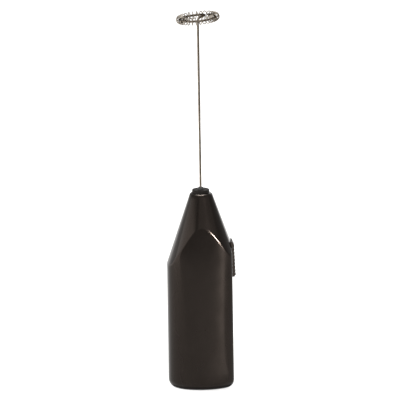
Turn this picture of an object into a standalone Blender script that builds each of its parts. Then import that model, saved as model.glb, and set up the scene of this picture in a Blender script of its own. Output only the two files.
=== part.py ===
"""A hand-held battery milk frother, standing on its base with its whisk up.

Frame: the whisk shaft turns on the Z axis, the base stands on z = 0, the front is -Y and the switch is +X.
"""
import math

import bmesh
import bpy
from mathutils import Matrix, Vector

MM = 0.001
GAP = 0.3 * MM                      # clearance between two pieces that touch

# Housing: an upright oval with a flat for the switch, cut by a cone that tapers to the nose.
HALF_WIDTH = 20.3 * MM
HALF_DEPTH = 12.6 * MM
FLAT_X = 17.25 * MM
BASE_POWER = 2.0                    # the outline is an ellipse at the base
OVAL_POWER = 3.0                    # and boxier from DRAFT_Z up
OVAL_POINTS = 48
DRAFT = 0.015                       # the oval is this much larger at the base than at DRAFT_Z
DRAFT_Z = 80.0 * MM
WALL = 1.8 * MM
BASE_FILLET = 5.5 * MM
FILLET_STEPS = 4
LOFT_HEIGHTS = (20.0 * MM, 40.0 * MM, 60.0 * MM, DRAFT_Z)
CONE_SLOPE = 0.34                   # radius gained for each unit of height below the apex
CONE_APEX_Z = 134.7 * MM
CONE_POINTS = 56
CONE_RIGHT = 1.05                   # the taper is this much wider on the switch's side
SHOULDER_Z = 116.6 * MM
NOSE_CEILING_Z = 114.0 * MM
NOSE_BORE_R = 4.3 * MM
SEAM_HALF = GAP / 2

# Battery bay, at the back of the lower housing.
BAY_X = -1.5 * MM                   # middle of the space between the left wall and the flat
COVER_HALF_WIDTH = 13.35 * MM
COVER_TOP_Z = 62.85 * MM
COVER_LIP_Y = 6.15 * MM
COVER_LIFT = 0.2 * MM               # the cover's foot clears the table
TONGUE_HALF_WIDTH = 10.0 * MM
TAB_HALF_WIDTH = 4.5 * MM
TAB_THICKNESS = 1.4 * MM
TAB_REACH = 2.6 * MM                # how far the latch tab stands above the cover
TAB_ROOT = 4.0 * MM                 # how far it runs down behind the cover
GRIP_BARS = 4
GRIP_PITCH = 2.4 * MM
GRIP_Z = 48.0 * MM
GRIP_HALF_WIDTH = 5.0 * MM
GRIP_THICKNESS = 1.0 * MM
GRIP_RISE = 0.4 * MM

# Two AA cells, side by side.
CELL_R = 7.25 * MM
CELL_LENGTH = 50.5 * MM
CELL_NUB_R = 2.7 * MM
CELL_NUB_HEIGHT = 1.0 * MM
CELL_BEVEL = 0.5 * MM
CELL_HALF_PITCH = 7.6 * MM
CELL_LEFT_X = BAY_X - CELL_HALF_PITCH
CELL_RIGHT_X = BAY_X + CELL_HALF_PITCH
CELL_LEFT_Z = 9.5 * MM
CELL_RIGHT_Z = 7.1 * MM
TRAY_Z = (5.0 * MM, 62.1 * MM)
BAY_Z = (6.2 * MM, 60.9 * MM)
TRAY_BACK_Y = 3.0 * MM
TRAY_FLOOR_Y = -2.0 * MM            # the tray's front, between the cells
CONTACT_SPACE = (13.5 * MM, 6.0 * MM, 1.8 * MM)    # half width, depth and height of the contacts' recess
STRIP = 0.3 * MM                    # thickness of the contact strips
BRIDGE_HALF = (12.5 * MM, 5.0 * MM)
TOP_CONTACT_HALF = (3.6 * MM, 4.0 * MM)
TAB_HALF = 1.0 * MM
BRIDGE_Z = 6.5 * MM
TOP_CONTACT_Z = 60.3 * MM
TAB_TOP_Z = 63.6 * MM
SPRING_WIRE_R = 0.2 * MM
SPRING_R = (4.0 * MM, 2.2 * MM)     # at its wide end and at its narrow end
SPRING_TURNS = 3
SPRING_STEPS = 12                   # points in each turn

# Motor of the 130 size.
MOTOR_R = 10.0 * MM
MOTOR_FLAT = 7.6 * MM
MOTOR_Z = (71.5 * MM, 96.5 * MM)
MOTOR_CAN = 0.8 * MM
MOTOR_BOSS_R = 3.05 * MM
MOTOR_BOSS_TOP_Z = 98.0 * MM
MOTOR_SHAFT_R = 1.0 * MM
MOTOR_SHAFT_Z = (69.2 * MM, 105.0 * MM)
BEARING_R = MOTOR_SHAFT_R + GAP
END_CAP_Z = (70.0 * MM, 71.2 * MM, 73.0 * MM)
ARMATURE_R = 6.2 * MM
ARMATURE_Z = (77.0 * MM, 90.0 * MM)
COMMUTATOR_R = 2.6 * MM
COMMUTATOR_Z = 73.6 * MM
MAGNET_R = (6.8 * MM, 8.9 * MM)
MAGNET_Z = (76.5 * MM, 91.5 * MM)
MAGNET_HALF_ANGLE = 44
POLE_ROOT_R = 4.9 * MM
POLE_GAP_R = 3.2 * MM
TERMINAL_X = 4.2 * MM
TERMINAL_HALF = (0.7 * MM, 0.25 * MM)
TERMINAL_FOOT_Z = 66.0 * MM
CRADLE_X = (-12.0 * MM, 11.6 * MM)
CRADLE_HALF_DEPTH = 9.2 * MM
CRADLE_Z = (74.0 * MM, 83.0 * MM)

# Nose and whisk.
COLLAR_R = 5.05 * MM
COLLAR_Z = (116.9 * MM, 118.4 * MM)
SPIGOT_R = 4.0 * MM
SNAP_LIP = (0.7 * MM, 0.4 * MM, 1.2 * MM)   # the spigot's lip: its reach, the depth of its edge, its length
COLLAR_BORE_R = 2.3 * MM
COLLAR_ROUND = 0.5 * MM
SEAL_R = 2.0 * MM
SEAL_FOOT_Z = 114.5 * MM
SEAL_TOP_Z = 119.8 * MM
WIRE_R = 0.65 * MM
WHISK_FOOT_Z = 105.6 * MM
COUPLING_R = 2.6 * MM
COUPLING_Z = (99.5 * MM, 105.3 * MM, 111.0 * MM)
RING_Z = 218.0 * MM
RING_R = 10.2 * MM
RING_BEND_R = 2.6 * MM
SPOKE_BEND_R = 2.0 * MM
SPOKE_AZIMUTH = 58                  # degrees from +X, towards the back
RING_TILT = 4.5                     # degrees: the ring's left edge hangs low
RING_END_GAP = 14                   # degrees between the ring's free end and the spoke
COIL_R = 2.0 * MM
COIL_WIRE_R = 0.28 * MM
COIL_TURNS = 28
COIL_STEPS = 10                     # points in each turn
COIL_CLEAR = (7, 3)                 # degrees of the ring left bare after its bend, and before its free end

# Slide switch on the flat.
SLIDER_Z = (66.9 * MM, 88.8 * MM)
SLIDER_HALF_WIDTH = 4.6 * MM
SLIDER_BACK_X = 17.6 * MM
SLIDER_TIP_X = 17.0 * MM
SLIDER_RAMP = (18.3 * MM, 86.2 * MM)   # where the ramp down to the tip starts
RIB_COUNT = 9
RIB_PITCH = 2.1 * MM
RIB_DEPTH = 0.6 * MM
RIB_LEAN = 0.04                     # the slider stands prouder towards its lower end
RIB_CREST_X = 19.45 * MM
RIB_START = 0.5 * MM                # the first rib's height above the slider's foot
RIB_RISE = (0.5 * MM, 1.2 * MM, 1.7 * MM)   # where a rib's crest starts and ends, and where the rib ends
SLOT_Z = (70.5 * MM, 80.5 * MM)
SLOT_HALF_WIDTH = 1.65 * MM
STEM_Z = (70.9 * MM, 76.1 * MM)
FLANGE_THICKNESS = 1.5 * MM
FLANGE_HALF_WIDTH = 3.0 * MM
SWITCH_STRIP_X = 12.0 * MM
SWITCH_STRIP_HALF = 2.5 * MM
MOVING_STRIP_HALF = 2.4 * MM
MOVING_STRIP_OFFSET = 0.7 * MM
MOVING_STRIP_Z = (71.0 * MM, 76.5 * MM)
LOWER_STRIP_Z = (63.5 * MM, 75.5 * MM)
UPPER_STRIP_Z = (77.5 * MM, 84.0 * MM)

# Screws that hold the two shells together, in a row behind the cells.
SCREW_X = (-11.5 * MM, 8.4 * MM)
SCREW_Z = 66.6 * MM
BOSS_R = 3.0 * MM
SCREW_BORE_R = 1.2 * MM
SCREW_BORE_END_Y = -7.0 * MM
SCREW_SHANK_R = 0.9 * MM
SCREW_TIP_Y = (-6.0 * MM, -4.8 * MM)
SCREW_HEAD_R = 2.1 * MM
SCREW_HEAD_RIM = 0.8 * MM
SCREW_HEAD_HEIGHT = 1.3 * MM
CROSS_HALF_LENGTH = 1.3 * MM
CROSS_HALF_WIDTH = 0.25 * MM
HEAD_RECESS_R = 2.4 * MM
HEAD_SEAT_Y = 8.0 * MM

LEAD_R = 0.4 * MM
FAR = 0.2                           # longer than the whole object, for cutting boxes


# ---------------------------------------------------------------- helpers

def clear_scene():
    for item in list(bpy.data.objects):
        bpy.data.objects.remove(item, do_unlink=True)


def plastic(name, colour, roughness):
    return material(name, colour, roughness, 0.0)


def metal(name, colour, roughness):
    return material(name, colour, roughness, 1.0)


def material(name, colour, roughness, metallic):
    """A Principled material of one colour."""
    made = bpy.data.materials.new(name)
    made.use_nodes = True
    shader = made.node_tree.nodes["Principled BSDF"]
    shader.inputs["Base Color"].default_value = (*colour, 1.0)
    shader.inputs["Roughness"].default_value = roughness
    shader.inputs["Metallic"].default_value = metallic
    return made


def solid(name, rings, joined_ends=False):
    """A closed body through rings of points, capped at both ends or joined from last to first."""
    mesh = bpy.data.meshes.new(name)
    shape = bmesh.new()
    levels = [[shape.verts.new(point) for point in ring] for ring in rings]
    pairs = list(zip(levels, levels[1:]))
    if joined_ends:
        pairs.append((levels[-1], levels[0]))
    for lower, upper in pairs:
        for i in range(len(lower)):
            j = (i + 1) % len(lower)
            shape.faces.new((lower[i], lower[j], upper[j], upper[i]))
    if not joined_ends:
        shape.faces.new(levels[0])
        shape.faces.new(levels[-1])
    bmesh.ops.recalc_face_normals(shape, faces=shape.faces)
    shape.to_mesh(mesh)
    shape.free()
    made = bpy.data.objects.new(name, mesh)
    bpy.context.scene.collection.objects.link(made)
    return made


def circle(radius, z, count, centre=(0, 0)):
    turn = 2 * math.pi / count
    return [
        (centre[0] + radius * math.cos(i * turn), centre[1] + radius * math.sin(i * turn), z)
        for i in range(count)
    ]


def turned(name, profile, count=32, centre=(0, 0), hollow=False):
    """A body turned about a vertical axis from (radius, height) points.

    A hollow one has the profile's last point joined to its first, and any other has flat ends.
    """
    rings = [circle(radius, z, count, centre) for radius, z in profile]
    return solid(name, rings, joined_ends=hollow)


def cylinder(name, radius, low, high, count=32, centre=(0, 0)):
    return turned(name, [(radius, low), (radius, high)], count, centre)


def lay_along_y(piece, x, z):
    """Turns a piece made about the Z axis, so that its axis runs along +Y at this place."""
    piece.data.transform(Matrix.Translation((x, 0, z)) @ Matrix.Rotation(math.radians(-90), 4, "X"))
    return piece


def prism(name, outline, low, high):
    """A flat outline of (x, y) points, raised from one height to another."""
    return solid(name, [[(x, y, z) for x, y in outline] for z in (low, high)])


def block(name, low, high):
    corners = [(low[0], low[1]), (high[0], low[1]), (high[0], high[1]), (low[0], high[1])]
    return prism(name, corners, low[2], high[2])


def combine(target, tool, operation):
    """Applies a Boolean of the tool to the target, and removes the tool."""
    change = target.modifiers.new("combine", "BOOLEAN")
    change.operation = operation
    change.solver = "EXACT"
    change.object = tool
    state = bpy.context.evaluated_depsgraph_get()
    mesh = bpy.data.meshes.new_from_object(target.evaluated_get(state))
    target.modifiers.clear()
    target.data = mesh
    bpy.data.objects.remove(tool, do_unlink=True)
    return target


def cut(target, *tools):
    for tool in tools:
        combine(target, tool, "DIFFERENCE")
    return target


def join(target, *tools):
    for tool in tools:
        combine(target, tool, "UNION")
    return target


def common(target, tool):
    return combine(target, tool, "INTERSECT")


def copy_of(source, name):
    made = bpy.data.objects.new(name, source.data.copy())
    bpy.context.scene.collection.objects.link(made)
    return made


def finish(piece, surface, pivot=(0, 0, 0), crease_angle=30):
    """Names the mesh, gives it its material, smooths its round faces and sets its origin."""
    piece.data.name = piece.name
    piece.data.materials.clear()
    piece.data.materials.append(surface)
    piece.data.transform(Matrix.Translation(-Vector(pivot)))
    piece.location = pivot
    piece.data.shade_smooth()
    piece.data.set_sharp_from_angle(angle=math.radians(crease_angle))
    return piece


def wire(name, points, radius, surface, sides_level=1):
    """A round wire along a list of points."""
    path = bpy.data.curves.new(name, "CURVE")
    path.dimensions = "3D"
    path.bevel_depth = radius
    path.bevel_resolution = sides_level
    path.use_fill_caps = True
    spline = path.splines.new("POLY")
    spline.points.add(len(points) - 1)
    for target, point in zip(spline.points, points):
        target.co = (*point, 1)
    path.materials.append(surface)
    made = bpy.data.objects.new(name, path)
    bpy.context.scene.collection.objects.link(made)
    return made


def smooth_route(knots, steps=4):
    """Points of a smooth curve through the knots."""
    knots = [Vector(knot) * MM for knot in knots]
    ends = [2 * knots[0] - knots[1]] + knots + [2 * knots[-1] - knots[-2]]
    points = []
    for before, start, end, after in zip(ends, ends[1:], ends[2:], ends[3:]):
        for i in range(steps):
            t = i / steps
            points.append(
                0.5 * (2 * start + (end - before) * t
                       + (2 * before - 5 * start + 4 * end - after) * t ** 2
                       + (3 * start - before - 3 * end + after) * t ** 3)
            )
    return points + [knots[-1]]


# ---------------------------------------------------------------- housing

def outline_power(z):
    return BASE_POWER + (OVAL_POWER - BASE_POWER) * min(1, z / DRAFT_Z)


def oval(inset, z, power=None):
    """The housing's outline at a height, drawn in by the inset."""
    size = 1 + DRAFT * (1 - z / DRAFT_Z)
    half_width = HALF_WIDTH * size - inset
    half_depth = HALF_DEPTH * size - inset
    flat_x = FLAT_X * size - inset
    share = 2 / (power or outline_power(z))
    start = math.acos((flat_x / half_width) ** (1 / share))
    points = [(flat_x, 0, z)]
    for i in range(OVAL_POINTS):
        angle = start + (2 * math.pi - 2 * start) * i / (OVAL_POINTS - 1)
        across = math.copysign(abs(math.cos(angle)) ** share, math.cos(angle))
        along = math.copysign(abs(math.sin(angle)) ** share, math.sin(angle))
        points.append((across * half_width, along * half_depth, z))
    return points


def cone_radius(z):
    return (CONE_APEX_Z - z) * CONE_SLOPE


def tapered_body(name, inset, top_z):
    """The housing's whole outer form, or its inner form when inset: the oval cut by the cone."""
    fillet = BASE_FILLET - inset
    rings = []
    for step in range(FILLET_STEPS + 1):
        angle = math.pi / 2 * step / FILLET_STEPS
        drawn_in = fillet * (1 - math.sin(angle))
        height = inset + fillet * (1 - math.cos(angle))
        rings.append(oval(inset + drawn_in, height))
    rings += [oval(inset, z) for z in (*LOFT_HEIGHTS, top_z + 5 * MM)]
    body = solid(name, rings)
    wide_z = COVER_TOP_Z
    cone_inset = inset * math.hypot(1, CONE_SLOPE)
    widest = cone_radius(wide_z) - cone_inset
    profile = [(widest, -FAR), (widest, wide_z), (cone_radius(top_z) - cone_inset, top_z)]
    taper = turned("taper", profile, CONE_POINTS)
    for vert in taper.data.vertices:
        if vert.co.x > 0:
            vert.co.x *= CONE_RIGHT
    return common(body, taper)


def whole_shell():
    """The housing before it is split: hollow, with its screw bosses, switch slot and nose bore."""
    shell = tapered_body("shell", 0, SHOULDER_Z)
    bosses = [
        common(tapered_body("form", 0.2 * MM, SHOULDER_Z - GAP),
               lay_along_y(cylinder("boss", BOSS_R, -FAR, FAR, 24), x, SCREW_Z))
        for x in SCREW_X
    ]
    cut(shell, tapered_body("hollow", WALL, NOSE_CEILING_Z))
    join(shell, *bosses)
    for x in SCREW_X:
        bore = [(SCREW_BORE_R, SCREW_BORE_END_Y), (SCREW_BORE_R, HEAD_SEAT_Y)]
        bore += [(HEAD_RECESS_R, HEAD_SEAT_Y), (HEAD_RECESS_R, FAR)]
        cut(shell, lay_along_y(turned("bore", bore, 24), x, SCREW_Z))
    cut(shell, cylinder("nose_bore", NOSE_BORE_R, NOSE_CEILING_Z - GAP, FAR))
    slot_low = (FLAT_X - 2 * WALL, -SLOT_HALF_WIDTH, SLOT_Z[0])
    slot_high = (FLAT_X + WALL, SLOT_HALF_WIDTH, SLOT_Z[1])
    return cut(shell, block("slot", slot_low, slot_high))


def tongue(name, clearance):
    """The strip of floor that the front shell carries back, to the foot of the battery cover."""
    half = TONGUE_HALF_WIDTH + clearance
    low = (BAY_X - half, -5 * MM, -5 * MM)
    return block(name, low, (BAY_X + half, COVER_LIP_Y - GAP + clearance, WALL + MM))


def front_shell(shell, surface):
    piece = copy_of(shell, "front_shell")
    rear_half = block("rear_half", (-FAR, -SEAM_HALF, -FAR), (FAR, FAR, FAR))
    cut(piece, cut(rear_half, tongue("tongue", 0)))
    return finish(piece, surface)


def rear_shell(shell, surface):
    piece = copy_of(shell, "rear_shell")
    cut(piece, block("front_half", (-FAR, -FAR, -FAR), (FAR, SEAM_HALF, FAR)))
    half = COVER_HALF_WIDTH + GAP
    window_low = (BAY_X - half, COVER_LIP_Y - GAP, -FAR)
    cut(piece, block("window", window_low, (BAY_X + half, FAR, COVER_TOP_Z + GAP)))
    cut(piece, tongue("tongue", GAP))
    return finish(piece, surface)


def battery_cover(shell, surface):
    """The sliding cover, with its top latch tab and the ridges that a thumb pushes on."""
    piece = copy_of(shell, "battery_cover")
    low = (BAY_X - COVER_HALF_WIDTH, COVER_LIP_Y, COVER_LIFT)
    common(piece, block("panel", low, (BAY_X + COVER_HALF_WIDTH, FAR, COVER_TOP_Z)))
    left, right = BAY_X - TAB_HALF_WIDTH, BAY_X + TAB_HALF_WIDTH
    back_y = HALF_DEPTH - WALL - GAP
    foot_z = COVER_TOP_Z - TAB_ROOT
    tab_low = (left, back_y - TAB_THICKNESS, foot_z)
    join(piece, block("tab", tab_low, (right, back_y, COVER_TOP_Z + TAB_REACH)))
    root_low = (left, back_y - TAB_THICKNESS / 2, foot_z)
    join(piece, block("tab_root", root_low, (right, HALF_DEPTH - WALL / 2, COVER_TOP_Z - GAP)))
    for bar in range(GRIP_BARS):
        z = GRIP_Z + bar * GRIP_PITCH
        bar_low = (BAY_X - GRIP_HALF_WIDTH, HALF_DEPTH - WALL / 2, z)
        bar_high = (BAY_X + GRIP_HALF_WIDTH, HALF_DEPTH + GRIP_RISE, z + GRIP_THICKNESS)
        join(piece, block("bar", bar_low, bar_high))
    return finish(piece, surface)


def shell_screw(name, x, surface):
    """A self-tapping screw driven in from the back, towards -Y."""
    head_y = HEAD_SEAT_Y + GAP
    rim_y = head_y + SCREW_HEAD_RIM
    tip_y, point_y = SCREW_TIP_Y
    profile = [
        (SCREW_SHANK_R * 0.3, tip_y), (SCREW_SHANK_R, point_y), (SCREW_SHANK_R, head_y),
        (SCREW_HEAD_R, head_y), (SCREW_HEAD_R, rim_y), (SCREW_HEAD_R * 0.7, head_y + SCREW_HEAD_HEIGHT),
    ]
    piece = turned(name, profile, 20)
    long, short = CROSS_HALF_LENGTH, CROSS_HALF_WIDTH
    for half_x, half_y in ((long, short), (short, long)):
        low = (-half_x, -half_y, rim_y - 0.1 * MM)
        cut(piece, block("cross", low, (half_x, half_y, FAR)))
    return finish(lay_along_y(piece, x, SCREW_Z), surface)


# ---------------------------------------------------------------- nose and whisk

def nose_collar(surface):
    low, high = COLLAR_Z
    lip_top = NOSE_CEILING_Z - GAP
    reach, edge, length = SNAP_LIP
    lip_r = SPIGOT_R + reach
    profile = [
        (COLLAR_BORE_R, lip_top - length), (SPIGOT_R, lip_top - length), (lip_r, lip_top - edge),
        (lip_r, lip_top), (SPIGOT_R, lip_top), (SPIGOT_R, low), (COLLAR_R, low),
        (COLLAR_R, high - COLLAR_ROUND), (COLLAR_R - 0.3 * COLLAR_ROUND, high - 0.3 * COLLAR_ROUND),
        (COLLAR_R - COLLAR_ROUND, high), (COLLAR_BORE_R, high),
    ]
    return finish(turned("nose_collar", profile, 40, hollow=True), surface)


def shaft_seal(surface):
    """The domed seal that the shaft comes out of."""
    bore = WIRE_R + GAP
    dome_z = COLLAR_Z[1]
    profile = [
        (bore, SEAL_FOOT_Z), (SEAL_R, SEAL_FOOT_Z), (SEAL_R, dome_z + 0.3 * MM),
        (SEAL_R * 0.92, dome_z + 0.75 * MM), (SEAL_R * 0.7, SEAL_TOP_Z - 0.3 * MM),
        (bore + 0.1 * MM, SEAL_TOP_Z), (bore, SEAL_TOP_Z),
    ]
    return finish(turned("shaft_seal", profile, 28, hollow=True), surface)


def ring_frame():
    """Turns a point of the flat whisk ring, with its spoke along +X, to where the ring really stands."""
    tilt = Matrix.Rotation(math.radians(-RING_TILT), 4, "Y")
    turn = Matrix.Rotation(math.radians(SPOKE_AZIMUTH), 4, "Z")
    return Matrix.Translation((0, 0, RING_Z)) @ tilt @ turn


def arc(centre, radius, start, end, steps):
    """Points of a flat arc, between two angles in radians."""
    angles = [start + (end - start) * i / steps for i in range(steps + 1)]
    return [
        Vector((centre[0] + radius * math.cos(a), centre[1] + radius * math.sin(a), 0)) for a in angles
    ]


def ring_start_angle():
    """The angle on the ring where the bend from the spoke runs into it."""
    return math.asin(RING_BEND_R / (RING_R - RING_BEND_R))


def whisk_wire(surface):
    """The shaft, the spoke at its top and the ring, bent from one wire."""
    place = ring_frame()
    join_angle = ring_start_angle()
    bend_x = (RING_R - RING_BEND_R) * math.cos(join_angle)
    flat = arc((bend_x, RING_BEND_R), RING_BEND_R, -math.pi / 2, join_angle, 8)
    ring_end = 2 * math.pi - math.radians(RING_END_GAP)
    flat += arc((0, 0), RING_R, join_angle, ring_end, 40)[1:]
    corner = Vector((0, 0, RING_Z))
    out = (place.to_3x3() @ Vector((1, 0, 0))).normalized()
    up = Vector((0, 0, 1))
    angle = out.angle(up)
    reach = SPOKE_BEND_R / math.tan(angle / 2)
    side = (out - up * out.dot(up)).normalized()
    bend_centre = corner - up * reach + side * SPOKE_BEND_R
    sweep = math.pi - angle
    bend = []
    for i in range(7):
        turn = sweep * i / 6
        bend.append(bend_centre - side * SPOKE_BEND_R * math.cos(turn) + up * SPOKE_BEND_R * math.sin(turn))
    points = [Vector((0, 0, WHISK_FOOT_Z))] + bend + [place @ point for point in flat]
    return wire("whisk_wire", points, WIRE_R, surface, sides_level=2)


def whisk_coil(surface):
    """The spring wound round the ring."""
    place = ring_frame()
    clear_start, clear_end = COIL_CLEAR
    start = ring_start_angle() + math.radians(clear_start)
    end = 2 * math.pi - math.radians(RING_END_GAP - clear_end)
    total = COIL_TURNS * COIL_STEPS
    points = []
    for i in range(total + 1):
        along = start + (end - start) * i / total
        turn = 2 * math.pi * i / COIL_STEPS
        reach = RING_R + COIL_R * math.cos(turn)
        flat = Vector((reach * math.cos(along), reach * math.sin(along), COIL_R * math.sin(turn)))
        points.append(place @ flat)
    return wire("whisk_coil", points, COIL_WIRE_R, surface, sides_level=0)


def shaft_coupling(surface):
    low, step, high = COUPLING_Z
    profile = [
        (BEARING_R, low), (COUPLING_R, low), (COUPLING_R, high - 0.6 * MM), (COUPLING_R - 0.6 * MM, high),
        (WIRE_R + GAP, high), (WIRE_R + GAP, step), (BEARING_R, step),
    ]
    return finish(turned("shaft_coupling", profile, 24, hollow=True), surface)


# ---------------------------------------------------------------- motor

def double_d(radius, flat):
    """A circle with two flats, at y = flat and y = -flat."""
    half = math.asin(flat / radius)
    steps = 12
    points = []
    for middle in (0, math.pi):
        for i in range(steps + 1):
            angle = middle - half + 2 * half * i / steps
            points.append((radius * math.cos(angle), radius * math.sin(angle)))
    return points


def motor_can(surface):
    low, high = MOTOR_Z
    can = prism("motor_can", double_d(MOTOR_R, MOTOR_FLAT), low, high)
    join(can, cylinder("boss", MOTOR_BOSS_R, high - MOTOR_CAN, MOTOR_BOSS_TOP_Z, 24))
    hollow = double_d(MOTOR_R - MOTOR_CAN, MOTOR_FLAT - MOTOR_CAN)
    cut(can, prism("hollow", hollow, low - MOTOR_CAN, high - MOTOR_CAN))
    cut(can, cylinder("bore", BEARING_R, high - 2 * MM, MOTOR_BOSS_TOP_Z + MM, 16))
    return finish(can, surface)


def motor_end_cap(surface):
    low, step, high = END_CAP_Z
    plug_inset = MOTOR_CAN + GAP
    cap = prism("motor_end_cap", double_d(MOTOR_R, MOTOR_FLAT), low, step)
    plug = double_d(MOTOR_R - plug_inset, MOTOR_FLAT - plug_inset)
    join(cap, prism("plug", plug, step - 0.5 * MM, high))
    cut(cap, cylinder("bore", BEARING_R, low - MM, high + MM, 16))
    return finish(cap, surface)


def motor_magnet(name, middle, surface):
    inner, outer = MAGNET_R
    steps = 8
    outline = []
    for radius, direction in ((outer, 1), (inner, -1)):
        for i in range(steps + 1):
            turn = direction * MAGNET_HALF_ANGLE * (2 * i / steps - 1)
            angle = math.radians(middle + turn)
            outline.append((radius * math.cos(angle), radius * math.sin(angle)))
    return finish(prism(name, outline, *MAGNET_Z), surface)


def motor_armature(surface):
    """Three poles on one core, with the commutator below."""
    outline = []
    for pole in range(3):
        middle = 120 * pole
        corners = [(POLE_ROOT_R, -50)] + [(ARMATURE_R, -50 + 20 * i) for i in range(6)]
        corners += [(POLE_ROOT_R, 50), (POLE_GAP_R, 60)]
        for radius, turn in corners:
            angle = math.radians(middle + turn)
            outline.append((radius * math.cos(angle), radius * math.sin(angle)))
    piece = prism("motor_armature", outline, *ARMATURE_Z)
    join(piece, cylinder("commutator", COMMUTATOR_R, COMMUTATOR_Z, ARMATURE_Z[0] + MM, 16))
    cut(piece, cylinder("bore", BEARING_R, COMMUTATOR_Z - MM, ARMATURE_Z[1] + MM, 16))
    return finish(piece, surface)


def motor_shaft(surface):
    return finish(cylinder("motor_shaft", MOTOR_SHAFT_R, *MOTOR_SHAFT_Z, 16), surface)


def motor_terminal(name, x, surface):
    half_width, half_depth = TERMINAL_HALF
    high = (x + half_width, half_depth, END_CAP_Z[0] - GAP)
    return finish(block(name, (x - half_width, -half_depth, TERMINAL_FOOT_Z), high), surface)


def motor_cradle(surface):
    """The plastic frame that centres the motor in the housing."""
    low, high = CRADLE_Z
    left, right = CRADLE_X
    frame = block("motor_cradle", (left, -CRADLE_HALF_DEPTH, low), (right, CRADLE_HALF_DEPTH, high))
    hole = double_d(MOTOR_R + GAP, MOTOR_FLAT + GAP)
    return finish(cut(frame, prism("hole", hole, low - MM, high + MM)), surface)


# ---------------------------------------------------------------- batteries

def cell_profile(low, nub_up):
    """An AA cell's outline, with its positive nub at the top or at the bottom."""
    can_length = CELL_LENGTH - CELL_NUB_HEIGHT
    heights = [
        (CELL_R - CELL_BEVEL, 0), (CELL_R, CELL_BEVEL), (CELL_R, can_length - CELL_BEVEL),
        (CELL_R - CELL_BEVEL, can_length), (CELL_NUB_R, can_length), (CELL_NUB_R, CELL_LENGTH),
    ]
    if nub_up:
        return [(radius, low + z) for radius, z in heights]
    return [(radius, low + CELL_LENGTH - z) for radius, z in reversed(heights)]


def aa_cell(name, x, low, nub_up, surface):
    return finish(turned(name, cell_profile(low, nub_up), 28, (x, 0)), surface)


def battery_tray(surface):
    """The cradle for the two cells, with an end plate below and above them for the contacts."""
    low, high = TRAY_Z
    inset = WALL + GAP
    outline = [(x, y) for x, y, z in oval(inset, DRAFT_Z, BASE_POWER)]
    tray = prism("battery_tray", outline, low, high)
    cut(tray, block("open_back", (-FAR, TRAY_BACK_Y, -FAR), (FAR, FAR, FAR)))
    cut(tray, block("open_bay", (-FAR, TRAY_FLOOR_Y, BAY_Z[0]), (FAR, FAR, BAY_Z[1])))
    for x in (CELL_LEFT_X, CELL_RIGHT_X):
        cut(tray, cylinder("cell_space", CELL_R + GAP, *BAY_Z, 32, (x, 0)))
    half_width, depth, height = CONTACT_SPACE
    for z in (BAY_Z[0], BAY_Z[1] - height):
        low_corner = (BAY_X - half_width, -depth, z)
        cut(tray, block("contact_space", low_corner, (BAY_X + half_width, FAR, z + height)))
    return finish(tray, surface)


def contact_bridge(surface):
    half, depth = BRIDGE_HALF
    low = (BAY_X - half, -depth, BRIDGE_Z)
    return finish(block("contact_bridge", low, (BAY_X + half, depth, BRIDGE_Z + STRIP)), surface)


def top_contact(name, x, tab_x, surface):
    """A strip over one cell, with a solder tab at its back edge."""
    half, back = TOP_CONTACT_HALF
    top = TOP_CONTACT_Z + STRIP
    strip = block(name, (x - half, -back, TOP_CONTACT_Z), (x + half, back + STRIP, top))
    tab_high = (tab_x + TAB_HALF, back + STRIP, TAB_TOP_Z)
    return finish(join(strip, block("tab", (tab_x - TAB_HALF, back, TOP_CONTACT_Z), tab_high)), surface)


def battery_spring(name, x, wide_z, narrow_z, surface):
    """A cone spring, widest where it sits on its contact."""
    wide_r, narrow_r = SPRING_R
    total = SPRING_TURNS * SPRING_STEPS
    points = []
    for i in range(total + 1):
        share = i / total
        radius = wide_r + (narrow_r - wide_r) * share
        angle = 2 * math.pi * i / SPRING_STEPS
        z = wide_z + (narrow_z - wide_z) * share
        points.append((x + radius * math.cos(angle), radius * math.sin(angle), z))
    return wire(name, points, SPRING_WIRE_R, surface, sides_level=0)


# ---------------------------------------------------------------- switch

def slider_profile():
    """The slider's side view: ribs on its outer face, and a back that follows the flat and the taper."""
    low, high = SLIDER_Z
    right_slope = CONE_SLOPE * CONE_RIGHT
    taper_z = CONE_APEX_Z - FLAT_X / right_slope
    top_x = (CONE_APEX_Z - high) * right_slope + GAP
    points = [(top_x, high), (SLIDER_BACK_X, taper_z), (SLIDER_BACK_X, low), (RIB_CREST_X - RIB_DEPTH, low)]
    crest_start, crest_end, rib_end = RIB_RISE
    for rib in range(RIB_COUNT):
        z = low + RIB_START + rib * RIB_PITCH
        crest = RIB_CREST_X - RIB_LEAN * (z - low)
        points += [(crest - RIB_DEPTH, z), (crest, z + crest_start), (crest, z + crest_end)]
        points.append((crest - RIB_DEPTH, z + rib_end))
    return points + [SLIDER_RAMP, (SLIDER_TIP_X, high)]


def switch_slider(surface):
    profile = slider_profile()
    sides = [[(x, y, z) for x, z in profile] for y in (-SLIDER_HALF_WIDTH, SLIDER_HALF_WIDTH)]
    piece = solid("switch_slider", sides)
    flange_high_x = FLAT_X - WALL - GAP
    flange_low_x = flange_high_x - FLANGE_THICKNESS
    stem_side = SLOT_HALF_WIDTH - GAP
    stem_low = (flange_low_x + GAP, -stem_side, STEM_Z[0])
    join(piece, block("stem", stem_low, (SLIDER_BACK_X + GAP, stem_side, STEM_Z[1])))
    flange_low = (flange_low_x, -FLANGE_HALF_WIDTH, STEM_Z[0] - MM)
    join(piece, block("flange", flange_low, (flange_high_x, FLANGE_HALF_WIDTH, STEM_Z[1] + MM)))
    return finish(piece, surface, (FLAT_X, 0, STEM_Z[0]))


def switch_strip(name, x, half_width, heights, surface, pivot=(0, 0, 0)):
    low, high = heights
    piece = block(name, (x, -half_width, low), (x + STRIP, half_width, high))
    return finish(piece, surface, pivot)


# ---------------------------------------------------------------- assembly

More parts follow.
